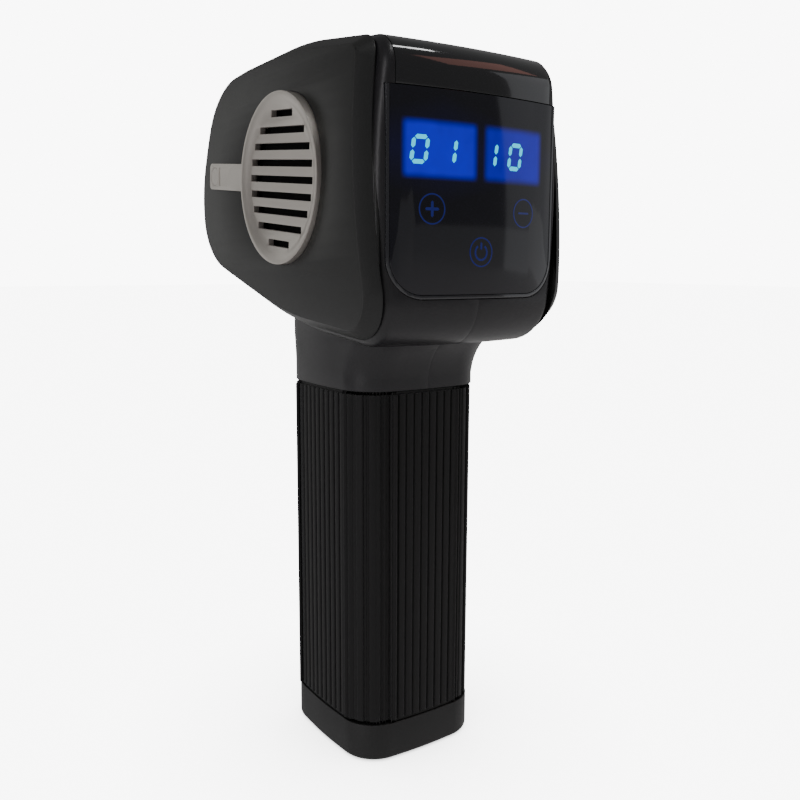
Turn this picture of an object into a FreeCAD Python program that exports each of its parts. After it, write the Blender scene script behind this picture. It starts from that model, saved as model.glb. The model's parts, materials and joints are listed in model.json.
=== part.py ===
import FreeCAD, Part
import math
import os

# Massage gun: a pitched head on an upright handle.
# Frame: +Z up, origin at the centre of the handle's base, display faces -Y, piston points to +Y.
# The head frame (u forward, v up) starts on the drive axis and is pitched up at the front.

SIZES = {
    "headPitch": 5.2, "headRise": 186.2,
    # handle outline: half-sizes of the bowed rectangle, and how far its sides bow
    "handleHalfWidth": 23.9, "handleHalfDepth": 25.4, "handleBow": 1.4, "handleCorner": 12.5,
    "capHeight": 12.7, "capInset": 0.1, "capRound": 1.6, "gripBottom": 13.0, "gripTop": 123.8, "gripThickness": 2.5, "handleWall": 2.0,
    "neckBottom": 124.1,
    # head shell
    "shellWall": 2.2, "sideRound": 3.6,
    # side covers: both faces are bowed about a line along Y at bowHeight
    "coverFace": 38.3, "coverBow": 240.0, "bowHeight": 183.0, "bowReach": 62.0, "coverDepth": 4.4, "coverGap": 0.4,
    "coverWall": 2.2, "bevelRise": 3.1, "bevelRun": 4.2,
    "rearFace": 51.3, "rearRadius": 175.0,
    "displayTop": 211.1, "displayBottom": 154.8, "lensHalfWidth": 29.6, "lensThickness": 1.8,
    "bezelWidth": 1.2, "trimHalfWidth": 28.0, "seamGap": 0.2,
    # vents
    "ventRadius": 26.0, "ventCentre": 3.0, "ventPlate": 21.5, "slotPitch": 4.9, "slotHeight": 2.1,
    "ventFace": 39.5, "tabFace": 39.3, "tabReach": 52.5, "tabHalfWidth": 4.4,
    # drive
    "crankThrow": 6.0, "shaftRadius": 3.0,
    "rollerRadius": 6.5, "rollerWidth": 5.0, "yokeThickness": 6.0, "yokeSlack": 1.4,
    "pistonRadius": 12.5, "pistonFront": 74.0, "socketRadius": 9.0, "socketDepth": 22.0,
    "runningGap": 0.06, "bellRadius": 23.0, "bellLength": 14.5,
    # handle contents
    "cellRadius": 9.25, "cellLength": 65.0, "cellBottom": 23.0,
    "jackBore": 3.0, "jackDepth": 9.0, "boardThickness": 1.6,
    "screwRadius": 1.45, "screwHead": 2.8, "bossRadius": 3.4, "bossLength": 68.0,
}

doc = FreeCAD.newDocument("massage_gun")
sheet = doc.addObject("Spreadsheet::Sheet", "Sizes")
for row, (alias, value) in enumerate(SIZES.items(), 1):
    sheet.set("A%d" % row, alias)
    sheet.set("B%d" % row, str(value))
    sheet.setAlias("B%d" % row, alias)
doc.recompute()

Vec = FreeCAD.Vector
Turn = FreeCAD.Rotation
Place = FreeCAD.Placement

parts = []          # the finished sub-parts, in the order they are made


def size(alias):
    return sheet.get(alias)


def setValue(thing, prop, value):
    """A string is an expression on the sheet, a number is set as it is."""
    if isinstance(value, str):
        thing.setExpression(prop, value)
    else:
        setattr(thing, prop, value)


def finish(thing, node):
    thing.Label = node
    parts.append(thing)
    return thing


headPlace = Place(Vec(0, 0, size("headRise")), Turn(Vec(1, 0, 0), size("headPitch")))


def inHead(x, u, v, turn=Turn()):
    return headPlace.multiply(Place(Vec(x, u, v), turn))


ALONG_X = Turn(Vec(0, 1, 0), 90)
ALONG_Y = Turn(Vec(1, 0, 0), -90)


def pitched(corners):
    """Corners given in the head frame's (u, v), turned into the row frame's (Y, Z)."""
    turned = []
    for u, v, radius in corners:
        point = headPlace.multVec(Vec(0, u, v))
        turned.append((point.y, point.z, radius))
    return turned


# ---------------------------------------------------------------- outlines

def inset(corners, distance):
    """Moves every side of a convex anticlockwise outline inwards by distance."""
    count = len(corners)
    sides = []
    for i in range(count):
        a = Vec(corners[i][0], corners[i][1], 0)
        b = Vec(corners[(i + 1) % count][0], corners[(i + 1) % count][1], 0)
        along = (b - a).normalize()
        sides.append((a + Vec(-along.y, along.x, 0) * distance, along))
    moved = []
    for i in range(count):
        p, d = sides[i - 1]
        q, e = sides[i]
        reach = ((q - p).x * e.y - (q - p).y * e.x) / (d.x * e.y - d.y * e.x)
        corner = p + d * reach
        radius = corners[i][2]
        moved.append((corner.x, corner.y, max(radius - distance, 0.4) if radius else 0))
    return moved


def outlineEdges(corners):
    """Straight runs joined by tangent arcs, as sketch geometry."""
    count = len(corners)
    ends = []
    arcs = []
    for i in range(count):
        x, y, radius = corners[i]
        corner = Vec(x, y, 0)
        back = (Vec(*corners[i - 1][:2], 0) - corner).normalize()
        ahead = (Vec(*corners[(i + 1) % count][:2], 0) - corner).normalize()
        if radius == 0:
            ends.append((corner, corner))
            continue
        half = back.getAngle(ahead) / 2
        reach = radius / math.tan(half)
        middle = (back + ahead).normalize()
        centre = corner + middle * (radius / math.sin(half))
        start, stop = corner + back * reach, corner + ahead * reach
        ends.append((start, stop))
        arcs.append(Part.Arc(start, centre - middle * radius, stop))
    lines = []
    for i in range(count):
        start, stop = ends[i][1], ends[(i + 1) % count][0]
        if (stop - start).Length > 1e-6:
            lines.append(Part.LineSegment(start, stop))
    return lines + arcs


PLANES = {"XY": Turn(), "XZ": Turn(Vec(1, 0, 0), 90), "YZ": Turn(Vec(1, 1, 1), 120)}
PLANE_ROLES = {"XY": "XY_Plane", "XZ": "XZ_Plane", "YZ": "YZ_Plane"}


def circle(x, y, radius):
    return [Part.Circle(Vec(x, y, 0), Vec(0, 0, 1), radius)]


def rectangle(x, y, width, height, radius=0):
    w, t = width / 2, height / 2
    return [(x - w, y - t, radius), (x + w, y - t, radius), (x + w, y + t, radius), (x - w, y + t, radius)]


def prism(name, plane, corners, low, high, frame=Place()):
    """A sketch drawn in one of the frame's planes, extruded along its normal from low to high."""
    sketch = doc.addObject("Sketcher::SketchObject", name + "Outline")
    sketch.Placement = frame.multiply(Place(Vec(0, 0, 0), PLANES[plane]))
    sketch.addGeometry(outlineEdges(corners))
    solid = doc.addObject("Part::Extrusion", name)
    solid.Base = sketch
    solid.DirMode = "Normal"
    solid.Solid = True
    setValue(solid, "LengthFwd", high)
    setValue(solid, "LengthRev", low if isinstance(low, str) else -low)
    return solid


def box(name, length, width, height, place):
    solid = doc.addObject("Part::Box", name)
    setValue(solid, "Length", length)
    setValue(solid, "Width", width)
    setValue(solid, "Height", height)
    solid.Placement = place
    return solid


def cylinder(name, radius, height, place):
    solid = doc.addObject("Part::Cylinder", name)
    setValue(solid, "Radius", radius)
    setValue(solid, "Height", height)
    solid.Placement = place
    return solid


def tube(name, outer, inner, height, place):
    return cut(name, cylinder(name + "Outside", outer, height, place),
               cylinder(name + "Bore", inner, height, place))


def cut(name, base, *tools):
    result = doc.addObject("Part::Cut", name)
    result.Base = base
    result.Tool = tools[0] if len(tools) == 1 else fuse(name + "Tools", *tools)
    return result


def fuse(name, *solids):
    result = doc.addObject("Part::MultiFuse", name)
    result.Shapes = list(solids)
    return result


def common(name, *solids):
    result = doc.addObject("Part::MultiCommon", name)
    result.Shapes = list(solids)
    return result


def group(name, *solids):
    result = doc.addObject("Part::Compound", name)
    result.Links = list(solids)
    return result


def soften(name, base, radius, choose):
    """Rounds the edges that choose(edge) accepts."""
    doc.recompute()
    result = doc.addObject("Part::Fillet", name)
    result.Base = base
    edges = base.Shape.Edges
    result.Edges = [(i + 1, radius, radius) for i, edge in enumerate(edges) if choose(edge)]
    return result


def middleOf(edge):
    return edge.valueAt((edge.FirstParameter + edge.LastParameter) / 2)


# ---------------------------------------------------------------- PartDesign helpers

def makeBody(node, place=Place()):
    body = doc.addObject("PartDesign::Body", node)
    body.Placement = place
    return body


def drawOn(body, plane, *outlines, offset=0):
    sketch = body.newObject("Sketcher::SketchObject", body.Name + "Sketch")
    for feature in body.Origin.OriginFeatures:
        if feature.Role == PLANE_ROLES[plane]:
            sketch.AttachmentSupport = [(feature, "")]
    sketch.MapMode = "FlatFace"
    sketch.AttachmentOffset = Place(Vec(0, 0, offset), Turn())
    for outline in outlines:
        isCorners = isinstance(outline[0], tuple)
        sketch.addGeometry(outlineEdges(outline) if isCorners else outline)
    return sketch


def pad(body, sketch, length, backwards=False):
    feature = body.newObject("PartDesign::Pad", body.Name + "Pad")
    feature.Profile = sketch
    setValue(feature, "Length", length)
    feature.Reversed = backwards
    return feature


def pocket(body, sketch, length, backwards=False):
    doc.recompute()
    before = body.Shape.Volume
    feature = body.newObject("PartDesign::Pocket", body.Name + "Pocket")
    feature.Profile = sketch
    setValue(feature, "Length", length)
    feature.Reversed = backwards
    doc.recompute()
    if not body.Shape.Volume < before:
        raise RuntimeError(body.Name + ": a pocket cuts nothing")
    return feature


# ---------------------------------------------------------------- shared outlines

def handleOutline(grow=0.0, rear=0.0):
    """The handle's section: a rectangle with bowed sides; rear pulls the -Y side out further."""
    w, t = size("handleHalfWidth") + grow, size("handleHalfDepth") + grow
    bow, corner, side = size("handleBow"), size("handleCorner") + grow, 150 + grow
    return [(w + bow, 0, side), (w, t, corner), (0, t + bow, side), (-w, t, corner),
            (-w - bow, 0, side), (-w, -t - rear, corner), (0, -t - bow - rear, side), (w, -t - rear, corner)]


def coverOutline():
    """Side view of the drum-shaped side cover, in the row frame's (Y, Z)."""
    return pitched([(64.9, -2.4, 62), (59.8, 37.2, 22.5), (0, 44.3, 140), (-39.9, 42.3, 7.5),
                    (-54.8, -41.3, 14.4), (0, -41.4, 140), (60.7, -28.1, 22.7)])


def bowedSides(depth):
    """Front view of everything between the two bowed sides, moved inwards by depth from the cover faces."""
    radius = size("coverBow") - depth
    reach = size("bowReach")
    lean = math.asin(reach / radius)
    axis = size("coverFace") - size("coverBow")
    corner, end = axis + radius / math.cos(lean), axis + radius * math.cos(lean)
    low, middle, high = size("bowHeight") - reach, size("bowHeight"), size("bowHeight") + reach
    return [(end, low, 0), (corner, middle, radius), (end, high, 0),
            (-end, high, 0), (-corner, middle, radius), (-end, low, 0)]


def sideAt(height, depth):
    """Half-width of bowedSides at a height."""
    radius = size("coverBow") - depth
    return size("coverFace") - size("coverBow") + math.sqrt(radius ** 2 - (height - size("bowHeight")) ** 2)


def headOutline():
    """Side view of the head shell, in (Y, Z); its rear line stands behind the bowed rear face."""
    return pitched([(71.0, 22.5, 4.0), (50.0, 34.0, 18.0), (0, 43.0, 130), (-51.5, 42.6, 0),
                    (-59.5, -43.6, 0), (0, -43.2, 130), (71.0, -23.0, 15.0)])


def planOutline(depth=0.0):
    """Top view that bows the rear face; depth moves the rear face inwards."""
    radius = size("rearRadius") - depth
    slope = math.radians(10.7)
    nose = -size("rearFace") + depth - radius * (1 / math.cos(slope) - 1)
    edge = 45.0
    shoulder = nose + edge * math.tan(slope)
    return [(0, nose, radius), (edge, shoulder, 0), (edge, 95, 0), (-edge, 95, 0), (-edge, shoulder, 0)]


def housingDepth():
    return size("coverDepth") + size("coverGap")


def headBlock(name, depth):
    """The head's solid envelope, moved inwards by depth, with its rear edges rounded."""
    side = prism(name + "Side", "YZ", inset(headOutline(), depth), -45, 45)
    plan = prism(name + "Plan", "XY", planOutline(depth), 100, 250)
    front = prism(name + "Front", "XZ", bowedSides(housingDepth() + depth), -100, 100)
    block = common(name + "Block", side, plan, front)
    rearTop = soften(name + "Rear", block, 9.5 - depth, lambda e: isRearEdge(e, True))
    return soften(name + "Envelope", rearTop, 14.0 - depth, lambda e: isRearEdge(e, False))


def isRearEdge(edge, upper):
    """The long edges where the bowed rear face meets the top or the bottom."""
    point = middleOf(edge)
    return point.y < -38 and abs(point.x) < 20 and edge.Length > 25 and (point.z > 186) == upper


# ---------------------------------------------------------------- head shell and handle

def lensOutline(grow=0.0, top=None):
    w = size("lensHalfWidth") + grow
    low = size("displayBottom") - grow
    high = size("displayTop") if top is None else top
    return [(-w, low, 10.5 + grow), (w, low, 10.5 + grow), (w, high, 0), (-w, high, 0)]


def trimRegion(name, grow):
    """The rear-top wrap: everything above the display seam and behind the crown."""
    w = size("trimHalfWidth") + grow
    low = size("displayTop") + size("seamGap") - grow
    return prism(name, "YZ", [(-65, low, 0), (16 + grow, low, 0), (16 + grow, 240, 0), (-65, 240, 0)], -w, w)


def makeHousing(outer):
    sides = soften("headSoft", outer, size("sideRound"), isSideEdge)
    collar = doc.addObject("Part::Loft", "collar")
    sections = []
    for height, grow, rear in COLLAR_SECTIONS:
        section = doc.addObject("Sketcher::SketchObject", "collarSection")
        section.Placement = Place(Vec(0, 0, height), Turn())
        section.addGeometry(outlineEdges(handleOutline(grow, rear)))
        sections.append(section)
    collar.Sections = sections
    collar.Solid = True
    neck = prism("neck", "XY", handleOutline(), size("neckBottom"), 150)
    topHeight, topGrow, topRear = COLLAR_SECTIONS[-1]
    shoulder = prism("shoulder", "XY", handleOutline(topGrow, topRear), topHeight, 150)
    stem = prism("stem", "XY", handleOutline(-size("gripThickness") - 0.1), 13.2, 126)
    solid = fuse("housingSolid", sides, collar, shoulder, neck, stem)
    cavity = headBlock("cavity", size("shellWall"))
    shaftway = prism("handleCavity", "XY", handleOutline(-size("gripThickness") - size("handleWall")), 12, 150)
    window = prism("displayWindow", "XZ", lensOutline(size("bezelWidth") + size("seamGap"), size("displayTop") + 0.1),
                   -30, 70)
    crown = trimRegion("crownCut", size("seamGap"))
    noseHole = cylinder("noseHole", 17.5, 30, inHead(0, 50, 0, ALONG_Y))
    vents = cylinder("ventHoles", 21.0, 90, inHead(-45, 0, size("ventCentre"), ALONG_X))
    hollow = cut("housingHollow", solid, cavity, shaftway, window, crown, noseHole, vents)
    bosses = common("bosses", cut("drilledPosts", fuse("bossPosts", *bossPosts()), *bossHoles()), outer)
    whole = fuse("housingWhole", hollow, bosses)
    screwHoles = fuse("housingScrewHoles", *bossHoles("Shell"))
    drilled = cut("housingDrilled", whole, screwHoles)
    for node, x in (("housing_left", -60), ("housing_right", 0)):
        half = box(node + "Side", 60, 200, 260, Place(Vec(x, -100, 0), Turn()))
        finish(common(node, drilled, half), node)


# height, growth all round, further growth at the rear
COLLAR_SECTIONS = [(127.5, 0.0, 0.0), (131.0, 0.0, 0.9), (134.0, 0.1, 2.2), (136.4, 0.2, 3.8), (139.8, 0.4, 6.8)]


def isSideEdge(edge):
    return all(abs(abs(corner.X) - sideAt(corner.Z, housingDepth())) < 0.02 for corner in edge.Vertexes)


def bossPlaces():
    return [(-33, 35), (-33, -35), (27, 29.5), (27, -29.5), (46, 21.4), (46, -21.4)]


def bossPosts():
    reach = size("bossLength")
    return [cylinder("bossPost", "Sizes.bossRadius", reach, inHead(-reach / 2, u, v, ALONG_X))
            for u, v in bossPlaces()]


def bossHoles(label=""):
    holes = []
    for u, v in bossPlaces():
        holes.append(cylinder("bossHole" + label, "Sizes.screwRadius + 0.05", 80, inHead(-16, u, v, ALONG_X)))
        holes.append(cylinder("headHole" + label, "Sizes.screwHead + 0.2", 30, inHead(28, u, v, ALONG_X)))
    return holes


def makeHousingScrews():
    screws = []
    for u, v in bossPlaces():
        shank = cylinder("screwShank", "Sizes.screwRadius", 43, inHead(-15, u, v, ALONG_X))
        head = cylinder("screwHead", "Sizes.screwHead", 2.2, inHead(28.0, u, v, ALONG_X))
        drive = cylinder("screwDrive", 1.3, 1.4, inHead(28.9, u, v, ALONG_X))
        screws.append(cut("screw", fuse("screwSolid", shank, head), drive))
    finish(group("housing_screws", *screws), "housing_screws")


def mirrored(name, source):
    result = doc.addObject("Part::Mirroring", name)
    result.Source = source
    result.Normal = Vec(1, 0, 0)
    return result


def makeSideCovers():
    """A shallow bowed dish with a sloping border, hollow behind its panel."""
    slab = prism("coverSlab", "YZ", coverOutline(), 28, 45)
    dish = common("coverDish", slab, prism("coverFaces", "XZ", bowedSides(0), -100, 100))
    doc.recompute()
    bevel = doc.addObject("Part::Chamfer", "coverBevel")
    bevel.Base = dish
    bevel.Edges = [(i + 1, size("bevelRun"), size("bevelRise")) for i, edge in enumerate(dish.Shape.Edges)
                   if edge.BoundBox.XMin > 31]
    under = prism("coverUnder", "XZ", bowedSides(size("coverDepth")), -100, 100)
    pan = common("coverPan", prism("coverPanSide", "YZ", inset(coverOutline(), size("bevelRun") + size("coverWall")), 28, 45),
                 prism("coverPanFront", "XZ", bowedSides(size("coverWall")), -100, 100))
    vent = cylinder("coverVent", "Sizes.ventRadius + 0.15", 30, inHead(20, 0, size("ventCentre"), ALONG_X))
    right = cut("side_cover_right", bevel, under, pan, vent)
    finish(right, "side_cover_right")
    finish(mirrored("side_cover_left", right), "side_cover_left")


# ---------------------------------------------------------------- vents

def makeVentGrilles():
    """A ring around a recessed plate with slots, and a tab that runs forward over the cover."""
    centre, face = size("ventCentre"), size("ventFace")
    ring = cylinder("grilleDisc", "Sizes.ventRadius", face - 34.0, inHead(34.0, 0, centre, ALONG_X))
    wing = size("tabHalfWidth")
    tab = prism("grilleTab", "YZ", pitched([(24.0, centre - wing, 0), (size("tabReach"), centre - wing, 1.7),
                                            (size("tabReach"), centre + wing, 1.7), (24.0, centre + wing, 0)]),
                size("coverFace"), size("tabFace"))
    recess = doc.addObject("Part::Cone", "grilleRecess")
    setValue(recess, "Radius1", "Sizes.ventPlate")
    setValue(recess, "Radius2", "Sizes.ventPlate + 3.6")
    setValue(recess, "Height", 1.6)
    recess.Placement = inHead(face - 1.4, 0, centre, ALONG_X)
    back = cylinder("grilleBack", 24.0, 3.3, inHead(33.0, 0, centre, ALONG_X))
    seat = cylinder("capSeat", 3.1, 3, inHead(size("tabFace") - 0.8, size("tabReach") - wing, centre, ALONG_X))
    label = prism("tabPanel", "YZ", pitched(rectangle(40.8, centre, 7.4, 6.2, 0.8)), size("tabFace") - 0.15, 41)
    slots = []
    for i in range(-4, 5):
        rise = i * size("slotPitch")
        reach = math.sqrt(20.8 ** 2 - rise ** 2)
        slots.append(box("grilleSlot", 20, 2 * reach, "Sizes.slotHeight",
                         inHead(28, -reach, centre + rise - size("slotHeight") / 2)))
    grille = cut("vent_grille_right", fuse("grilleSolid", ring, tab), recess, back, seat, label, *slots)
    finish(grille, "vent_grille_right")
    finish(mirrored("vent_grille_left", grille), "vent_grille_left")
    cap = cylinder("tab_cap_right", 3.0, 0.8, inHead(size("tabFace") - 0.8, size("tabReach") - wing, centre, ALONG_X))
    finish(group("tab_caps", cap, mirrored("tab_cap_left", cap)), "tab_caps")
    screen = cylinder("dust_screen_right", 23.8, 0.6, inHead(33.5, 0, centre, ALONG_X))
    finish(group("dust_screens", screen, mirrored("dust_screen_left", screen)), "dust_screens")


# ---------------------------------------------------------------- display and top trim

def rearShell(name, outer, region, depth):
    """The slice of the head's bowed rear face inside region, depth thick."""
    behind = prism(name + "Behind", "XY", planOutline(depth), 100, 250)
    return cut(name, common(name + "Slice", outer, region), behind)


def makeDisplay(outer):
    lens = rearShell("display_lens", outer, prism("lensRegion", "XZ", lensOutline(), -30, 70), size("lensThickness"))
    finish(lens, "display_lens")
    rim = cut("bezelRegion", prism("bezelOutside", "XZ", lensOutline(size("bezelWidth")), -30, 70),
              prism("bezelInside", "XZ", lensOutline(0.08, 240), -30, 70))
    finish(rearShell("display_bezel", outer, rim, 2.6), "display_bezel")


def makeTrim(outer):
    inner = headBlock("trimInner", 2.0)
    finish(cut("top_trim", common("trimSlice", outer, trimRegion("trimRegion", 0.0)), inner), "top_trim")


def makeDisplayBoards():
    board = makeBody("touch_board")
    plate = drawOn(board, "XZ", rectangle(0, 183, 54, 50, 4), offset=41.9)
    pad(board, plate, "Sizes.boardThickness")
    for x in (-20, 20):
        hole = drawOn(board, "XZ", circle(x, 162, 1.6), offset=41.9)
        pocket(board, hole, 5, backwards=True)
    finish(board, "touch_board")
    for node, x in (("speed_display", -13.7), ("time_display", 13.7)):
        module = makeBody(node)
        pad(module, drawOn(module, "XZ", rectangle(x, 195.2, 23.0, 12.0, 0.8), offset=43.6), 3.4)
        finish(module, node)
    pads = [cylinder("touchPad", 4.2, 1.0, Place(Vec(x, -43.6, z), Turn(Vec(1, 0, 0), 90)))
            for x, z in ((-17.5, 179), (17.5, 179), (0, 166.8))]
    finish(group("touch_pads", *pads), "touch_pads")


# ---------------------------------------------------------------- handle, base cap and battery

def makeGrip():
    grip = makeBody("grip_sleeve")
    low, high = size("gripBottom"), size("gripTop")
    pad(grip, drawOn(grip, "XY", handleOutline(), offset=low), high - low)
    bore = drawOn(grip, "XY", handleOutline(-size("gripThickness")), offset=low)
    pocket(grip, bore, high - low, backwards=True)
    finish(grip, "grip_sleeve")


capScrews = [(-14.5, -12.5), (14.5, -12.5)]
jackY = -12.0
rockerY = 9.0


def makeBaseCap():
    shell = prism("capSolid", "XY", handleOutline(-size("capInset")), 0, "Sizes.capHeight")
    soft = soften("capSoft", shell, size("capRound"), lambda e: abs(middleOf(e).z) < 0.01)
    hollow = prism("capHollow", "XY", handleOutline(-2.8), 2.6, 20)
    posts = [cylinder("capPost", 4.2, 5.0, Place(Vec(x, y, 0), Turn())) for x, y in capScrews]
    cup = fuse("capCup", cut("capShell", soft, hollow), *posts)
    jackHole = cylinder("jackHole", 5.1, 9, Place(Vec(0, jackY, -1), Turn()))
    rockerHole = box("rockerHole", 21.2, 16.2, 9, Place(Vec(-10.6, rockerY - 8.1, -1), Turn()))
    holes = []
    for x, y in capScrews:
        holes.append(cylinder("capScrewHole", "Sizes.screwRadius + 0.1", 9, Place(Vec(x, y, -1), Turn())))
        holes.append(cylinder("capHeadHole", "Sizes.screwHead + 0.3", 3.4, Place(Vec(x, y, -1), Turn())))
    finish(cut("base_cap", cup, jackHole, rockerHole, *holes), "base_cap")


def makeBaseParts():
    jack = cylinder("jackBody", 5.0, 12.0, Place(Vec(0, jackY, 0.6), Turn()))
    bore = cylinder("jackBoreHole", "Sizes.jackBore", "Sizes.jackDepth + 1", Place(Vec(0, jackY, -0.4), Turn()))
    seat = cylinder("contactSeat", 1.3, 1.0, Place(Vec(0, jackY, size("jackDepth") + 0.5), Turn()))
    finish(cut("charge_jack", jack, bore, seat), "charge_jack")
    disc = cylinder("charge_contact", 1.2, 0.5, Place(Vec(0, jackY, size("jackDepth") + 0.9), Turn()))
    finish(disc, "charge_contact")
    frame = cut("switch_frame",
                box("frameBlock", 21.0, 16.0, 11.0, Place(Vec(-10.5, rockerY - 8.0, 0.8), Turn())),
                box("frameHole", 15.8, 10.6, 9.0, Place(Vec(-7.9, rockerY - 5.3, 0.7), Turn())))
    finish(frame, "switch_frame")
    tilt = Place(Vec(0, rockerY, 5.4), Turn(Vec(1, 0, 0), -7))
    key = prism("power_rocker", "YZ", [(-4.2, -3.9, 1.2), (4.2, -3.9, 1.2), (3.0, 3.0, 1.0), (-3.0, 3.0, 1.0)],
                -7.6, 7.6, tilt)
    finish(key, "power_rocker")
    screws = []
    for x, y in capScrews:
        shank = cylinder("capShank", "Sizes.screwRadius", 16.0, Place(Vec(x, y, 2.0), Turn()))
        head = cylinder("capHead", "Sizes.screwHead", 1.6, Place(Vec(x, y, 0.7), Turn()))
        cross = box("capDrive", 3.2, 0.7, 1.0, Place(Vec(x - 1.6, y - 0.35, 0.4), Turn()))
        screws.append(cut("capScrew", fuse("capScrewSolid", shank, head), cross))
    finish(group("base_screws", *screws), "base_screws")


def makeBattery():
    pitch = size("cellRadius") + 0.15
    low, length = size("cellBottom"), size("cellLength")
    places = [(x * pitch, y * pitch) for x in (-1, 1) for y in (-1, 1)]
    cells = []
    for x, y in places:
        can = cylinder("cellCan", "Sizes.cellRadius", "Sizes.cellLength", Place(Vec(x, y, low), Turn()))
        button = cylinder("cellButton", 4.0, 1.0, Place(Vec(x, y, low + length - 0.2), Turn()))
        cells.append(fuse("cell", can, button))
    finish(group("battery_cells", *cells), "battery_cells")
    for node, z in (("cell_holder_bottom", low + 1), ("cell_holder_top", low + length - 8)):
        holder = makeBody(node)
        pad(holder, drawOn(holder, "XY", handleOutline(-4.9), offset=z), 7.0)
        bores = drawOn(holder, "XY", *[circle(x, y, size("cellRadius") + 0.06) for x, y in places], offset=z)
        pocket(holder, bores, 7.0, backwards=True)
        finish(holder, node)
    straps = []
    for x in (-pitch, pitch):
        straps.append(box("topStrap", 7, 28, 0.3, Place(Vec(x - 3.5, -14, low + length + 0.85), Turn())))
    for y in (-pitch, pitch):
        straps.append(box("bottomStrap", 28, 7, 0.3, Place(Vec(-14, y - 3.5, low - 0.35), Turn())))
    finish(group("cell_straps", *straps), "cell_straps")
    board = makeBody("battery_board")
    level = low + length + 4
    pad(board, drawOn(board, "XY", rectangle(0, 0, 34, 36, 2), offset=level), "Sizes.boardThickness")
    pocket(board, drawOn(board, "XY", circle(0, 14, 3.2), offset=level), 3, backwards=True)
    finish(board, "battery_board")
    pins = [box("terminal", 3, 2, 4.5, Place(Vec(x - 1.5, -14, level + 1.7), Turn())) for x in (-8, 0, 8)]
    finish(group("battery_terminals", *pins), "battery_terminals")
    tray = prism("trayPlate", "XY", handleOutline(-4.9), 18.4, 20.4)
    posts = [cylinder("trayPost", "Sizes.bossRadius", 15.0, Place(Vec(x, y, 5.1), Turn())) for x, y in capScrews]
    holes = [cylinder("trayHole", "Sizes.screwRadius + 0.02", 30, Place(Vec(x, y, 0), Turn())) for x, y in capScrews]
    finish(cut("battery_tray", fuse("traySolid", tray, *posts), *holes), "battery_tray")
    foam = prism("battery_foam", "XY", handleOutline(-6.0), 20.5, 22.5)
    finish(foam, "battery_foam")


# ---------------------------------------------------------------- motor and drive

def headTube(name, outer, inner, x, length):
    return tube(name, outer, inner, length, inHead(x, 0, 0, ALONG_X))


def makeMotor():
    plate = prism("mountPlate", "YZ", rectangle(-6.5, 0, 63, 50, 9), -15.0, -12.4, headPlace)
    hub = cylinder("mountHub", 8.5, 15.0, inHead(-27.2, 0, 0, ALONG_X))
    lug = box("mountLug", 14.0, 10, 15, inHead(-13.0, -36, -7.5))
    bore = cylinder("mountBore", 6.5, 30, inHead(-35, 0, 0, ALONG_X))
    bushSeat = cylinder("bushSeat", 6.5, 30, inHead(0, -45, 0, ALONG_Y))
    windows = [cylinder("mountWindow", 3.0, 9, inHead(-18, 17 * math.cos(a), 17 * math.sin(a), ALONG_X))
               for a in (0.785, 2.356, 3.927, 5.498)]
    lugTrim = box("lugTrim", 20, 30, 30, inHead(1.0, -45, -15))
    mount = cut("motor_mount", fuse("mountSolid", plate, hub, lug), bore, bushSeat, lugTrim, *windows)
    finish(mount, "motor_mount")

    stator = makeBody("motor_stator", headPlace)
    pad(stator, drawOn(stator, "YZ", circle(0, 0, 19.1), offset=-28.0), 11.0)
    slots = [circle(15.2 * math.cos(i * math.pi / 6), 15.2 * math.sin(i * math.pi / 6), 2.9) for i in range(12)]
    pocket(stator, drawOn(stator, "YZ", circle(0, 0, 8.5), *slots, offset=-28.0), 11.0, backwards=True)
    finish(stator, "motor_stator")
    coils = []
    for i in range(12):
        a = i * math.pi / 6
        coils.append(cylinder("coil", 2.7, 12.4, inHead(-28.7, 15.2 * math.cos(a), 15.2 * math.sin(a), ALONG_X)))
    finish(group("stator_coils", *coils), "stator_coils")
    bearings = [headTube("motorBearing", 6.5, size("shaftRadius") + size("runningGap"), x, 4.0)
                for x in (-27.0, -16.4)]
    finish(group("motor_bearings", *bearings), "motor_bearings")

    bell = cylinder("bellOutside", "Sizes.bellRadius", "Sizes.bellLength", inHead(-30.6, 0, 0, ALONG_X))
    inside = cylinder("bellInside", 21.5, 20, inHead(-29.4, 0, 0, ALONG_X))
    shaftHole = cylinder("bellShaftHole", "Sizes.shaftRadius", 5, inHead(-32, 0, 0, ALONG_X))
    ports = [cylinder("bellPort", 3.4, 5, inHead(-32, 13 * math.cos(a), 13 * math.sin(a), ALONG_X))
             for a in [i * math.pi / 3 for i in range(6)]]
    finish(cut("rotor_bell", bell, inside, shaftHole, *ports), "rotor_bell")
    finish(headTube("rotor_magnets", 21.45, 19.6, -28.0, 11.0), "rotor_magnets")
    finish(cylinder("motor_shaft", "Sizes.shaftRadius", 26.1, inHead(-30.6, 0, 0, ALONG_X)), "motor_shaft")


def makeCrank():
    swing = size("crankThrow")
    web = prism("crankWeb", "YZ", [(-15.5, -17, 7.5), (15.5, -17, 7.5), (9, 10.6, 5.2), (-9, 10.6, 5.2)],
                -9.5, -4.5, headPlace)
    shaftHole = cylinder("crankShaftHole", "Sizes.shaftRadius", 10, inHead(-12, 0, 0, ALONG_X))
    pinHole = cylinder("crankPinHole", 2.5, 10, inHead(-12, 0, swing, ALONG_X))
    finish(cut("crank_web", web, shaftHole, pinHole), "crank_web")
    finish(cylinder("crank_pin", 2.5, 13.5, inHead(-9.5, 0, swing, ALONG_X)), "crank_pin")
    half = size("rollerWidth") / 2
    finish(tube("crank_roller", "Sizes.rollerRadius", 2.5, "Sizes.rollerWidth", inHead(-half, 0, swing, ALONG_X)),
           "crank_roller")


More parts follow.
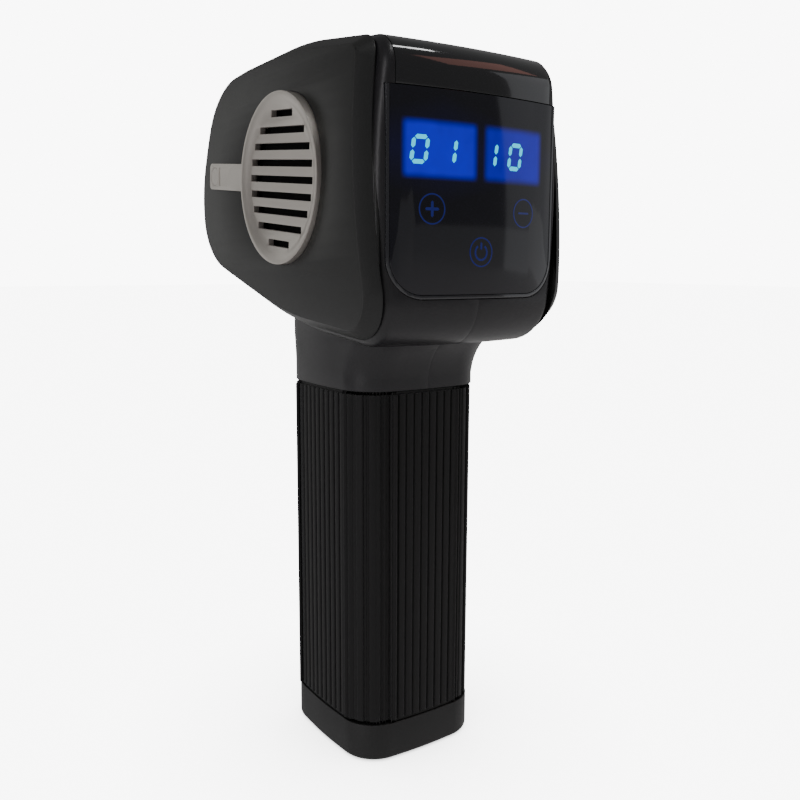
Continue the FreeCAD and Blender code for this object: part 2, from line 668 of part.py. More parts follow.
def makePiston():
    swing, roller = size("crankThrow"), size("rollerRadius")
    half = size("yokeThickness") / 2
    slotHalf, slotRise = roller + size("yokeSlack"), swing + roller + 0.5
    plate = prism("yokePlate", "YZ", rectangle(0, 0, 2 * slotHalf + 9, 2 * slotRise + 12, 4), -half, half, headPlace)
    neck = box("yokeNeck", 2 * half, 22, 14, inHead(-half, 12, -7))
    flange = cylinder("yokeFlange", "Sizes.pistonRadius - 0.3", 5, inHead(0, 33, 0, ALONG_Y))
    tail = cylinder("yokeTail", 3.5, 22, inHead(0, -34, 0, ALONG_Y))
    slot = prism("yokeSlot", "YZ", rectangle(0, 0, 2 * slotHalf, 2 * slotRise, 3), -9, 9, headPlace)
    finish(cut("drive_yoke", fuse("yokeSolid", plate, neck, flange, tail), slot), "drive_yoke")

    front = size("pistonFront")
    barrel = cylinder("pistonBarrel", "Sizes.pistonRadius", front - 38.0, inHead(0, 38.0, 0, ALONG_Y))
    chamfered = soften("pistonSoft", barrel, 0.8, lambda e: e.Closed)
    socket = cylinder("pistonSocket", "Sizes.socketRadius", "Sizes.socketDepth + 2",
                      inHead(0, front - size("socketDepth"), 0, ALONG_Y))
    finish(cut("piston", chamfered, socket), "piston")
    finish(tube("yoke_bush", 6.5, 3.5 + size("runningGap"), 10, inHead(0, -34.5, 0, ALONG_Y)), "yoke_bush")
    sleeve = tube("piston_sleeve", 16.0, size("pistonRadius") + size("runningGap"), 21, inHead(0, 45, 0, ALONG_Y))
    finish(sleeve, "piston_sleeve")
    finish(tube("wiper_seal", 16.0, size("pistonRadius") + 0.1, 3.0, inHead(0, 66.5, 0, ALONG_Y)), "wiper_seal")
    holder = cylinder("noseBarrel", 17.3, 28, inHead(0, 44, 0, ALONG_Y))
    flangeDisc = cylinder("noseFlange", 22.0, 3.0, inHead(0, 71.1, 0, ALONG_Y))
    rounded = soften("noseSoft", fuse("noseSolid", holder, flangeDisc), 1.2,
                     lambda e: e.Closed and e.Length > 130 and middleOf(e).y > 73)
    seat = cylinder("noseSeat", 16.05, 25.8, inHead(0, 43.9, 0, ALONG_Y))
    mouth = cylinder("noseMouth", "Sizes.pistonRadius + 0.5", 60, inHead(0, 40, 0, ALONG_Y))
    finish(cut("nose_ring", rounded, seat, mouth), "nose_ring")


# ---------------------------------------------------------------- fan, boards and leads in the head

def makeFan():
    centre = size("ventCentre")
    frame = cut("fanShell", box("fanBlock", 8.0, 42, 42, inHead(21.5, -21, centre - 21)),
                cylinder("fanWell", 19.4, 20, inHead(23.0, 0, centre, ALONG_X)),
                cylinder("fanInlet", 15.0, 20, inHead(15.0, 0, centre, ALONG_X)))
    spokes = [box("fanSpoke", 1.5, 34, 2.4, inHead(21.5, -17, centre - 1.2)),
              box("fanStrut", 1.5, 2.4, 34, inHead(21.5, -1.2, centre - 17))]
    stub = cylinder("fanStub", 1.5, 6.0, inHead(22.0, 0, centre, ALONG_X))
    finish(fuse("fan_frame", frame, stub, *spokes), "fan_frame")
    hub = cylinder("fanHub", 8.0, 6.4, inHead(23.6, 0, centre, ALONG_X))
    blades = []
    for i in range(7):
        around = Turn(Vec(1, 0, 0), i * 360 / 7)
        foot = around.multVec(Vec(0, 0, 7.4))
        pitchedBlade = around.multiply(Turn(Vec(0, 0, 1), -40))
        blades.append(box("fanBlade", 1.0, 5.4, 11.0, inHead(26.2, foot.y, centre + foot.z, pitchedBlade)))
    well = cylinder("fanHubBore", 1.56, 6.0, inHead(22.0, 0, centre, ALONG_X))
    finish(cut("fan_rotor", fuse("fanWheel", hub, *blades), well), "fan_rotor")


def makeControlBoard():
    board = makeBody("control_board", headPlace)
    pad(board, drawOn(board, "YZ", rectangle(-12, 0, 50, 56, 3), offset=9.0), "Sizes.boardThickness")
    holes = [circle(-34, 25, 1.6), circle(-34, -25, 1.6), circle(10, 25, 1.6)]
    pocket(board, drawOn(board, "YZ", *holes, offset=9.0), 3, backwards=True)
    finish(board, "control_board")
    top = 9.0 + size("boardThickness")
    chips = [box("driverChip", 1.4, 9, 9, inHead(top, -20, -2)),
             box("coil", 5.0, 8, 8, inHead(top, 2, 14)),
             cylinder("capacitorA", 4.0, 8.0, inHead(top, -30, 16, ALONG_X)),
             cylinder("capacitorB", 4.0, 8.0, inHead(top, -30, 5, ALONG_X)),
             box("plugHousing", 5.5, 6, 14, inHead(top, -36, -18))]
    chips += [box("transistor", 2.2, 5, 6, inHead(top, -8 + 7 * i, -22)) for i in range(3)]
    finish(group("board_components", *chips), "board_components")


def makeLeads():
    leads = [cylinder("powerLead", 0.95, 44.0, Place(Vec(x, 14.0, 94.0), Turn())) for x in (-2.2, 0, 2.2)]
    finish(group("power_leads", *leads), "power_leads")


# ---------------------------------------------------------------- build, check and write

headEnvelope = headBlock("head", 0.0)
makeHousing(headEnvelope)
makeHousingScrews()
makeSideCovers()
makeVentGrilles()
makeDisplay(headEnvelope)
makeTrim(headEnvelope)
makeDisplayBoards()
makeGrip()
makeBaseCap()
makeBaseParts()
makeBattery()
makeMotor()
makeCrank()
makePiston()
makeFan()
makeControlBoard()
makeLeads()
doc.recompute()

for thing in doc.Objects:
    if "Invalid" in thing.State or "Error" in thing.State:
        raise RuntimeError("failed object: " + thing.Name)
os.makedirs("parts", exist_ok=True)
for part in parts:
    if part.Shape.isNull() or not part.Shape.isValid():
        raise RuntimeError("bad shape: " + part.Label)
    part.Shape.exportStep("parts/%s.step" % part.Label)
print("wrote", len(parts), "parts")
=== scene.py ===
import bpy, bmesh, math
from mathutils import Vector, Matrix
from mathutils.bvhtree import BVHTree
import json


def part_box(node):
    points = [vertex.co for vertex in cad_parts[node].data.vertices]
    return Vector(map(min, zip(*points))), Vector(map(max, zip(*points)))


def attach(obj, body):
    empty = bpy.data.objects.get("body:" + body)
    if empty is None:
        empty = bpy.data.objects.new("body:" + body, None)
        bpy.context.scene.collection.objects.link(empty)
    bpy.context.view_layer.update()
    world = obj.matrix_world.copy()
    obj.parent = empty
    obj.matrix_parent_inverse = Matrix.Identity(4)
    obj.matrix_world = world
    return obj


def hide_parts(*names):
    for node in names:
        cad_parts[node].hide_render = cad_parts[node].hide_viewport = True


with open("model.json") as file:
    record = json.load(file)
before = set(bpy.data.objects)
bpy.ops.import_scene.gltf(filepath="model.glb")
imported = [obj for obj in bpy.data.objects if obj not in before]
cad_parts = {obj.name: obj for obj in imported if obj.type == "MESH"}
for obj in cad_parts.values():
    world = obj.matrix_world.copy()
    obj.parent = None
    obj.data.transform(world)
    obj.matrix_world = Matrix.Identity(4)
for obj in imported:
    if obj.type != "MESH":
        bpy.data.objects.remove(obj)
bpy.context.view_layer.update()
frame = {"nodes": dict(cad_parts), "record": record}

nodes = frame["nodes"]
mm = 0.001
print("frame loaded:", len(nodes), "nodes")


# ---- shader helpers -------------------------------------------------

# an output of a node, which sums and products can be written with
class Wire:
    def __init__(self, finish, socket):
        self.finish = finish
        self.socket = socket

    def maths(self, operation, *values):
        return self.finish.node("ShaderNodeMath", {"operation": operation}, values)

    def __add__(self, other):
        return self.maths("ADD", self, other)

    def __sub__(self, other):
        return self.maths("SUBTRACT", self, other)

    def __rsub__(self, other):
        return self.maths("SUBTRACT", other, self)

    def __mul__(self, other):
        return self.maths("MULTIPLY", self, other)

    def __truediv__(self, other):
        return self.maths("DIVIDE", self, other)

    def size(self):
        return self.maths("ABSOLUTE", self)

    def lowest(self, other):
        return self.maths("MINIMUM", self, other)

    def highest(self, other):
        return self.maths("MAXIMUM", self, other)


class Finish:
    def __init__(self, name, fixed):
        self.material = bpy.data.materials.new(name)
        self.material.use_nodes = True
        self.tree = self.material.node_tree
        self.shader = self.tree.nodes["Principled BSDF"]
        for socket, value in fixed.items():
            self.shader.inputs[socket].default_value = value
        self.place = self.node("ShaderNodeTexCoord", output="Object")

    # one way in for every node: its type, its settings, then the values or links of its sockets
    def node(self, kind, settings=None, values=(), output=0):
        made = self.tree.nodes.new(kind)
        for setting, value in (settings or {}).items():
            setattr(made, setting, value)
        pairs = values.items() if isinstance(values, dict) else enumerate(values)
        for socket, value in pairs:
            self.put(made.inputs[socket], value)
        return Wire(self, made.outputs[output])

    def put(self, socket, value):
        if isinstance(value, Wire):
            self.tree.links.new(value.socket, socket)
        else:
            socket.default_value = value

    def feed(self, socket, value):
        self.put(self.shader.inputs[socket], value)

    def axes(self):
        split = self.node("ShaderNodeSeparateXYZ", None, [self.place])
        return [Wire(self, output) for output in split.socket.node.outputs]

    def noise(self, scale, detail=3.0, roughness=0.5, place=None):
        return self.node("ShaderNodeTexNoise", None, {"Vector": place or self.place, "Scale": scale,
                                                      "Detail": detail, "Roughness": roughness})

    def stretched(self, x, y, z):
        return self.node("ShaderNodeMapping", None, {"Vector": self.place, "Scale": (x, y, z)})

    def between(self, factor, low, high):
        return self.node("ShaderNodeMapRange", None, {"Value": factor, "To Min": low, "To Max": high})

    def mixed(self, factor, first, second):
        factorSocket, firstColour, secondColour, colourResult = 0, 6, 7, 2
        return self.node("ShaderNodeMix", {"data_type": "RGBA"},
                         {factorSocket: factor, firstColour: first, secondColour: second}, colourResult)

    def bumps(self, height, strength, distance):
        self.feed("Normal", self.node("ShaderNodeBump", None, {"Strength": strength, "Distance": distance,
                                                               "Height": height}))


def grey(level, tint=(1.0, 1.0, 1.0)):
    return (level * tint[0], level * tint[1], level * tint[2], 1.0)


# a colour dimmed by a share, with full opacity
def opaque(colour, share=1.0):
    return tuple(part * share for part in colour) + (1,)


# ---- finishes -------------------------------------------------------

def mouldedPlastic(name, level, tint, roughness, grain, depth):
    made = Finish(name, {"IOR": 1.46, "Specular IOR Level": 0.42})
    broad = made.noise(38.0, 4.0)
    fine = made.noise(grain, 2.0, 0.6)
    speck = made.noise(grain * 0.37, 3.0, 0.7)
    made.feed("Base Color", made.mixed(broad, grey(level * 0.86, tint), grey(level * 1.18, tint)))
    made.feed("Roughness", made.between(broad * 0.6 + speck * 0.4, roughness - 0.06, roughness + 0.07))
    made.bumps(fine * 0.6 + speck * 0.4, 0.35, depth)
    return made.material


def softRubber():
    made = Finish("softRubber", {"IOR": 1.42, "Specular IOR Level": 0.28,
                                 "Sheen Weight": 0.12, "Sheen Roughness": 0.4})
    broad = made.noise(24.0, 4.0)
    fine = made.noise(3400.0, 2.0, 0.7)
    made.feed("Base Color", made.mixed(broad, grey(0.0075), grey(0.0125, (1.0, 1.0, 1.04))))
    made.feed("Roughness", made.between(broad, 0.60, 0.74))
    made.bumps(fine, 0.3, 0.00008)
    return made.material


def blastedMetal():
    made = Finish("blastedMetal", {"Specular IOR Level": 0.5})
    broad = made.noise(55.0, 4.0)
    fine = made.noise(4200.0, 2.0, 0.6)
    made.feed("Base Color", made.mixed(broad, (0.40, 0.37, 0.34, 1), (0.53, 0.50, 0.46, 1)))
    made.feed("Metallic", made.between(broad, 0.78, 0.9))
    made.feed("Roughness", made.between(fine * 0.5 + broad * 0.5, 0.30, 0.48))
    made.bumps(fine, 0.25, 0.00005)
    return made.material


def plainMetal(name, colour, roughness, lineScale):
    made = Finish(name, {"Metallic": 1.0})
    lines = made.noise(lineScale, 4.0, 0.6, made.stretched(1.0, 0.06, 1.0))
    made.feed("Base Color", made.mixed(lines, opaque(colour, 0.82), opaque(colour)))
    made.feed("Roughness", made.between(lines, roughness - 0.07, roughness + 0.10))
    made.bumps(lines, 0.2, 0.00004)
    return made.material


def pianoGloss(name, level):
    made = Finish(name, {"IOR": 1.5, "Coat Weight": 0.6, "Coat Roughness": 0.03, "Coat IOR": 1.5})
    blueTint = (1, 1, 1.25)
    smudge = made.noise(60.0, 6.0, 0.7)
    broad = made.noise(14.0, 2.0)
    made.feed("Base Color", made.mixed(broad, grey(level, blueTint), grey(level * 1.8, blueTint)))
    made.feed("Roughness", made.between(smudge, 0.045, 0.14))
    return made.material


# the two lit windows behind the display: their edges in metres, and how bright each part of the glow is
windowSpec = {"low": 0.1876, "high": 0.2020, "leftFrom": -0.0254, "leftTo": -0.0021,
              "rightFrom": 0.0018, "rightTo": 0.0238, "soft": 0.0014, "strength": 0.55,
              "rightShare": 0.68, "cloudLow": 0.72, "cloudHigh": 1.18,
              "haloShift": 0.013, "haloHeight": 0.0150, "haloWidth": 0.060, "haloLevel": 0.030}


def displayGloss():
    made = Finish("displayGloss", {"IOR": 1.5, "Specular IOR Level": 0.42, "Emission Strength": 1.0})
    spec = windowSpec
    x, y, z = made.axes()

    def band(axis, low, high):
        inside = (axis - (low - spec["soft"])) / (2 * spec["soft"])
        outside = ((high + spec["soft"]) - axis) / (2 * spec["soft"])
        return made.node("ShaderNodeMapRange", {"interpolation_type": "SMOOTHSTEP"},
                         {"Value": inside.lowest(outside)})

    height = band(z, spec["low"], spec["high"])
    left = band(x, spec["leftFrom"], spec["leftTo"]) * height
    right = band(x, spec["rightFrom"], spec["rightTo"]) * height
    cloud = made.between(made.noise(150.0, 2.0), spec["cloudLow"], spec["cloudHigh"])
    centre = (spec["low"] + spec["high"]) / 2
    above = (z - centre).size() / spec["haloHeight"]
    beside = (x + spec["haloShift"]).size() / spec["haloWidth"]
    halo = 1.0 - (above + beside)
    halo = halo.highest(0.0) * spec["haloLevel"]
    glow = (left * cloud + right * cloud * spec["rightShare"] + halo) * spec["strength"]
    made.feed("Emission Color", made.mixed(glow.lowest(1.0), (0, 0, 0, 1), (0.0, 0.0, 1.0, 1)))
    smudge = made.noise(75.0, 6.0, 0.7)
    made.feed("Base Color", made.mixed(smudge, (0.003, 0.003, 0.006, 1), (0.006, 0.006, 0.010, 1)))
    made.feed("Roughness", made.between(smudge, 0.03, 0.11))
    return made.material


def lightFilm(name, colour, strength, dimmest):
    made = Finish(name, {"Emission Strength": strength, "Roughness": 0.25, "Base Color": (0.0, 0.0, 0.0, 1)})
    cells = made.noise(900.0, 2.0)
    made.feed("Emission Color", made.mixed(cells, opaque(colour, dimmest), opaque(colour)))
    return made.material


def tintedPlastic(name, colour, roughness):
    made = Finish(name, {"IOR": 1.47})
    broad = made.noise(120.0, 4.0)
    made.feed("Base Color", made.mixed(broad, opaque(colour, 0.8), opaque(colour)))
    made.feed("Roughness", made.between(broad, roughness - 0.05, roughness + 0.08))
    made.bumps(broad, 0.15, 0.00006)
    return made.material


def darkScreen():
    made = Finish("darkScreen", {"Specular IOR Level": 0.05})
    cells = made.node("ShaderNodeTexVoronoi", {"feature": "DISTANCE_TO_EDGE"},
                      {"Vector": made.place, "Scale": 900.0})
    made.feed("Base Color", made.mixed(cells.lowest(1.0), grey(0.010), grey(0.001)))
    made.feed("Roughness", made.between(cells, 0.85, 0.95))
    return made.material


# what each finish is called in the pieces below
finishes = {
    "housing": mouldedPlastic("satinHousing", 0.0105, (1.0, 0.95, 1.10), 0.36, 2600.0, 0.00004),
    "cover": mouldedPlastic("matteCover", 0.0090, (0.98, 1.02, 1.0), 0.44, 3100.0, 0.00005),
    "cap": mouldedPlastic("satinCap", 0.0090, (1.0, 1.0, 1.02), 0.48, 2800.0, 0.00005),
    "rubber": softRubber(),
    "vent": blastedMetal(),
    "trim": pianoGloss("pianoTrim", 0.0035),
    "bezel": pianoGloss("bezelGloss", 0.0100),
    "display": displayGloss(),
    "digits": lightFilm("digitLight", (0.0, 0.70, 1.0), 1.5, 0.8),
    "symbols": lightFilm("symbolLight", (0.010, 0.022, 0.30), 0.42, 0.6),
    "steel": plainMetal("groundSteel", (0.52, 0.52, 0.53), 0.30, 1400.0),
    "screen": darkScreen(),
    "castMetal": plainMetal("castMetal", (0.48, 0.48, 0.50), 0.45, 900.0),
    "brass": plainMetal("platedBrass", (0.75, 0.52, 0.24), 0.25, 1500.0),
    "copper": plainMetal("enamelledCopper", (0.66, 0.27, 0.12), 0.35, 2600.0),
    "anodised": plainMetal("anodisedPiston", (0.56, 0.56, 0.58), 0.28, 1600.0),
    "board": tintedPlastic("solderMask", (0.012, 0.11, 0.045), 0.30),
    "blackPart": tintedPlastic("blackPart", (0.014, 0.014, 0.015), 0.35),
    "wrap": tintedPlastic("shrinkWrap", (0.03, 0.17, 0.45), 0.30),
    "greyPart": tintedPlastic("greyPart", (0.22, 0.22, 0.21), 0.50),
    "acetal": tintedPlastic("acetalBush", (0.62, 0.60, 0.55), 0.40),
    "foam": tintedPlastic("paddingFoam", (0.05, 0.05, 0.05), 0.85),
    "red": tintedPlastic("siliconeRed", (0.36, 0.02, 0.015), 0.45),
}
print("finishes made:", len(finishes))


# ---- pieces ---------------------------------------------------------

def addPiece(name, mesh, finish, body, slot, *replaced):
    piece = bpy.data.objects.new(name, mesh)
    bpy.context.scene.collection.objects.link(piece)
    mesh.materials.clear()
    mesh.materials.append(finishes[finish])
    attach(piece, body)
    if replaced:
        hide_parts(*replaced)
    return piece


def slotOf(node):
    return next(part["material_slot"] for part in frame["record"]["subparts"] if part["node"] == node)


def evaluated(source):
    graph = bpy.context.evaluated_depsgraph_get()
    mesh = bpy.data.meshes.new_from_object(source.evaluated_get(graph))
    bpy.data.objects.remove(source)
    return mesh


def closedMesh(work, name):
    bmesh.ops.recalc_face_normals(work, faces=work.faces)
    mesh = bpy.data.meshes.new(name)
    work.to_mesh(mesh)
    work.free()
    return mesh


def smoothed(mesh, sharpFrom):
    mesh.shade_smooth()
    mesh.set_sharp_from_angle(angle=math.radians(sharpFrom))
    return mesh


# angles are in degrees
easeSpec = {"weld": 2e-6, "flatWithin": 0.6, "roundFrom": 28.0, "sharpFrom": 19, "segments": 3}


# a merged copy of a CAD node whose edges are rounded, so that they catch the light;
# the housings and grilles keep all their facets, since long flat faces shade in streaks there
def easedMesh(node, width):
    mesh = nodes[node].data.copy()
    work = bmesh.new()
    work.from_mesh(mesh)
    bmesh.ops.remove_doubles(work, verts=work.verts, dist=easeSpec["weld"])
    if "housing" not in node and "grille" not in node:
        bmesh.ops.dissolve_limit(work, angle_limit=math.radians(easeSpec["flatWithin"]),
                                 verts=work.verts, edges=work.edges)
    work.to_mesh(mesh)
    work.free()
    holder = bpy.data.objects.new(node + "Work", mesh)
    bpy.context.scene.collection.objects.link(holder)
    ease = holder.modifiers.new("ease", "BEVEL")
    ease.width = width
    ease.segments = easeSpec["segments"]
    ease.limit_method = "ANGLE"
    ease.angle_limit = math.radians(easeSpec["roundFrom"])
    ease.use_clamp_overlap = True
    ease.harden_normals = False
    return smoothed(evaluated(holder), easeSpec["sharpFrom"])


# node: the name of its eased copy, its finish, and the width of the rounding in mm
easedNodes = {
    "side_cover_left": ("sideCoverLeft", "cover", 1.3),
    "side_cover_right": ("sideCoverRight", "cover", 1.3),
    "vent_grille_left": ("ventGrilleLeft", "vent", 0.35),
    "vent_grille_right": ("ventGrilleRight", "vent", 0.35),
    "housing_left": ("housingLeft", "housing", 0.25),
    "housing_right": ("housingRight", "housing", 0.25),
    "base_cap": ("baseCap", "cap", 0.25),
    "nose_ring": ("noseRing", "housing", 0.3),
    "top_trim": ("topTrim", "trim", 0.5),
    "display_bezel": ("displayBezel", "bezel", 0.2),
    "display_lens": ("displayLens", "display", 0.2),
    "piston": ("pistonBarrel", "anodised", 0.2),
}


def makeEased():
    for node, (name, finish, width) in easedNodes.items():
        addPiece(name, easedMesh(node, width * mm), finish, "piston" if node == "piston" else "body",
                 slotOf(node), node)
    print("eased copies:", len(easedNodes))


# nodes whose CAD mesh is shown as it is
keptFinishes = {
    "housing_screws": "steel", "tab_caps": "vent", "dust_screens": "screen", "touch_board": "board",
    "speed_display": "digits", "time_display": "digits", "touch_pads": "symbols", "charge_jack": "blackPart",
    "charge_contact": "brass", "switch_frame": "blackPart", "power_rocker": "blackPart",
    "base_screws": "steel",
    "battery_cells": "wrap", "cell_holder_bottom": "greyPart", "cell_holder_top": "greyPart",
    "cell_straps": "steel", "battery_board": "board", "battery_terminals": "brass",
    "battery_tray": "greyPart",
    "battery_foam": "foam", "motor_mount": "castMetal", "motor_stator": "steel", "stator_coils": "copper",
    "motor_bearings": "steel", "rotor_bell": "steel", "rotor_magnets": "castMetal", "motor_shaft": "steel",
    "crank_web": "steel", "crank_pin": "steel", "crank_roller": "steel", "drive_yoke": "castMetal",
    "yoke_bush": "acetal", "piston_sleeve": "acetal", "wiper_seal": "rubber", "fan_frame": "blackPart",
    "fan_rotor": "blackPart", "control_board": "board", "board_components": "blackPart", "power_leads": "red",
    "grip_sleeve": "rubber",
}


def finishKept():
    for node, finish in keptFinishes.items():
        nodes[node].data.materials.clear()
        nodes[node].data.materials.append(finishes[finish])


# ---- grip: a sleeve with upright ribs all round --------------------

gripSpec = {"ribPitch": 3.0 * mm, "ribWidth": 2.35 * mm, "ribRise": 0.55 * mm, "ribRound": 0.42 * mm,
            "ribSink": 0.6 * mm, "endMargin": 0.9 * mm, "wall": 2.4 * mm,
            "edgeBand": 2.2 * mm, "cornerReach": 26.5 * mm, "sameHeight": 1e-5,
            "sleeveSharpFrom": 40, "ribSharpFrom": 45}


# the outer edge of the sleeve's top end, in order round the handle; its bore is left out
def gripOutline():
    spec = gripSpec
    low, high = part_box("grip_sleeve")
    ring = {}
    for vertex in nodes["grip_sleeve"].data.vertices:
        point = vertex.co
        if abs(point.z - high.z) < spec["sameHeight"]:
            reach = math.hypot(point.x, point.y)
            inner = (abs(point.x) < high.x - spec["edgeBand"]) and (abs(point.y) < high.y - spec["edgeBand"])
            if not inner or reach > spec["cornerReach"]:
                ring[round(math.atan2(point.y, point.x), 4)] = (point.x, point.y)
    return [ring[key] for key in sorted(ring)]


def insetLoop(points, distance):
    moved = []
    for i, (x, y) in enumerate(points):
        ax, ay = points[i - 1]
        bx, by = points[(i + 1) % len(points)]
        along = Vector((bx - ax, by - ay)).normalized()
        moved.append((x - along.y * distance, y + along.x * distance))
    return moved


# stands a rounded bar at every pitch along a closed curve, turned to follow it
def ribTree():
    tree = bpy.data.node_groups.new("gripRibs", "GeometryNodeTree")
    face = tree.interface
    face.new_socket(name="Geometry", in_out="INPUT", socket_type="NodeSocketGeometry")
    for name in ("Pitch", "Width", "Depth", "Round", "Length"):
        face.new_socket(name=name, in_out="INPUT", socket_type="NodeSocketFloat")
    face.new_socket(name="Finish", in_out="INPUT", socket_type="NodeSocketMaterial")
    face.new_socket(name="Geometry", in_out="OUTPUT", socket_type="NodeSocketGeometry")
    link = tree.links.new
    start = tree.nodes.new("NodeGroupInput")
    end = tree.nodes.new("NodeGroupOutput")
    spaced = tree.nodes.new("GeometryNodeResampleCurve")
    spaced.mode = "LENGTH"
    link(start.outputs["Geometry"], spaced.inputs["Curve"])
    link(start.outputs["Pitch"], spaced.inputs["Length"])
    line = tree.nodes.new("GeometryNodeCurvePrimitiveLine")
    top = tree.nodes.new("ShaderNodeCombineXYZ")
    link(start.outputs["Length"], top.inputs["Z"])
    link(top.outputs[0], line.inputs["End"])
    profile = tree.nodes.new("GeometryNodeCurvePrimitiveQuadrilateral")
    link(start.outputs["Width"], profile.inputs["Width"])
    link(start.outputs["Depth"], profile.inputs["Height"])
    soft = tree.nodes.new("GeometryNodeFilletCurve")
    soft.mode = "POLY"
    soft.inputs["Count"].default_value = 3
    link(profile.outputs[0], soft.inputs["Curve"])
    link(start.outputs["Round"], soft.inputs["Radius"])
    bar = tree.nodes.new("GeometryNodeCurveToMesh")
    bar.inputs["Fill Caps"].default_value = True
    link(line.outputs[0], bar.inputs["Curve"])
    link(soft.outputs[0], bar.inputs["Profile Curve"])
    tangent = tree.nodes.new("GeometryNodeInputTangent")
    aim = tree.nodes.new("FunctionNodeAlignEulerToVector")
    aim.axis = "X"
    aim.pivot_axis = "Z"
    link(tangent.outputs[0], aim.inputs["Vector"])
    place = tree.nodes.new("GeometryNodeInstanceOnPoints")
    link(spaced.outputs[0], place.inputs["Points"])
    link(bar.outputs[0], place.inputs["Instance"])
    link(aim.outputs[0], place.inputs["Rotation"])
    real = tree.nodes.new("GeometryNodeRealizeInstances")
    link(place.outputs[0], real.inputs[0])
    paint = tree.nodes.new("GeometryNodeSetMaterial")
    link(real.outputs[0], paint.inputs["Geometry"])
    link(start.outputs["Finish"], paint.inputs["Material"])
    link(paint.outputs[0], end.inputs[0])
    return tree


def useTree(holder, tree, values):
    modifier = holder.modifiers.new(tree.name, "NODES")
    modifier.node_group = tree
    for item in tree.interface.items_tree:
        if item.in_out == "INPUT" and item.name in values:
            modifier[item.identifier] = values[item.name]


def loopCurve(name, points, height):
    curve = bpy.data.curves.new(name, "CURVE")
    curve.dimensions = "3D"
    spline = curve.splines.new("POLY")
    spline.points.add(len(points) - 1)
    for slot, (x, y) in zip(spline.points, points):
        slot.co = (x, y, height, 1.0)
    spline.use_cyclic_u = True
    holder = bpy.data.objects.new(name, curve)
    bpy.context.scene.collection.objects.link(holder)
    return holder


def makeGrip():
    spec = gripSpec
    low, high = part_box("grip_sleeve")
    outline = gripOutline()
    base = insetLoop(outline, spec["ribRise"])
    inner = insetLoop(outline, spec["wall"])
    work = bmesh.new()
    loops = []
    for points, z in ((inner, low.z), (base, low.z), (base, high.z), (inner, high.z)):
        loops.append([work.verts.new((x, y, z)) for x, y in points])
    count = len(outline)
    for k, first in enumerate(loops):
        second = loops[(k + 1) % len(loops)]
        for i in range(count):
            work.faces.new((first[i], first[(i + 1) % count], second[(i + 1) % count], second[i]))
    sleeve = smoothed(closedMesh(work, "gripBase"), spec["sleeveSharpFrom"])
    addPiece("gripSleeve", sleeve, "rubber", "body", "grip_rubber", "grip_sleeve")

    depth = spec["ribRise"] + spec["ribSink"]
    track = insetLoop(outline, depth / 2)
    length = sum(math.dist(track[i - 1], track[i]) for i in range(count))
    ribs = round(length / spec["ribPitch"])
    holder = loopCurve("ribTrack", track, low.z + spec["endMargin"])
    useTree(holder, ribTree(), {"Pitch": length / ribs, "Width": spec["ribWidth"], "Depth": depth,
                                "Round": spec["ribRound"], "Finish": finishes["rubber"],
                                "Length": high.z - low.z - 2 * spec["endMargin"]})
    mesh = smoothed(evaluated(holder), spec["ribSharpFrom"])
    addPiece("gripRibs", mesh, "rubber", "body", "grip_rubber")
    print("grip ribs:", ribs)


# ---- lit digits and touch symbols on the bowed display -------------

digitSpec = {"height": 7.9 * mm, "width": 5.6 * mm, "bar": 1.25 * mm, "gap": 0.45 * mm,
             "slant": math.radians(8), "middle": 194.6 * mm, "proud": 0.04 * mm, "thick": 0.25 * mm}
digitPlaces = [("0", -20.7 * mm), ("1", -11.4 * mm), ("1", 3.3 * mm), ("0", 13.2 * mm)]
digitBars = {"0": "abcdef", "1": "bc"}

behindLens = -0.1
lensTree = BVHTree.FromPolygons([vertex.co for vertex in nodes["display_lens"].data.vertices],
                                [face.vertices for face in nodes["display_lens"].data.polygons])


# the point of the lens's rear face at (x, z), sunk by a depth
def onLens(x, z, depth):
    hit = lensTree.ray_cast(Vector((x, behindLens, z)), Vector((0, 1, 0)))[0]
    return (x, hit.y + depth, z)


# a thin closed plate with this outline, lying on the lens
def flatShape(work, outline, proud=0.0):
    spec = digitSpec
    front = [work.verts.new(onLens(x, z, -spec["proud"] - proud)) for x, z in outline]
    back = [work.verts.new(onLens(x, z, spec["thick"])) for x, z in outline]
    count = len(outline)
    work.faces.new(front)
    work.faces.new(list(reversed(back)))
    for i in range(count):
        work.faces.new((front[i], back[i], back[(i + 1) % count], front[(i + 1) % count]))


def barOutline(x0, z0, x1, z1, width):
    run = Vector((x1 - x0, z1 - z0))
    along = run.normalized()
    side = Vector((-along.y, along.x)) * width / 2
    a, b = Vector((x0, z0)), Vector((x1, z1))
    tip = along * width / 2
    return [a, a + tip + side, b - tip + side, b, b - tip - side, a + tip - side]


def makeDigits():
    spec = digitSpec
    work = bmesh.new()
    for digit, x in digitPlaces:
        w, t = spec["width"] / 2 - spec["bar"] / 2, spec["height"] / 2 - spec["bar"] / 2
        g = spec["gap"] / 2
        bars = {"a": (-w + g, t, w - g, t), "b": (w, g, w, t - g), "c": (w, -t + g, w, -g),
                "d": (-w + g, -t, w - g, -t), "e": (-w, -t + g, -w, -g), "f": (-w, g, -w, t - g)}
        for key in digitBars[digit]:
            outline = barOutline(*bars[key], spec["bar"])
            slanted = [(x + p.x + p.y * math.tan(spec["slant"]), spec["middle"] + p.y) for p in outline]
            flatShape(work, slanted)
    addPiece("displayDigits", closedMesh(work, "digits"), "digits", "body", "led_blue")


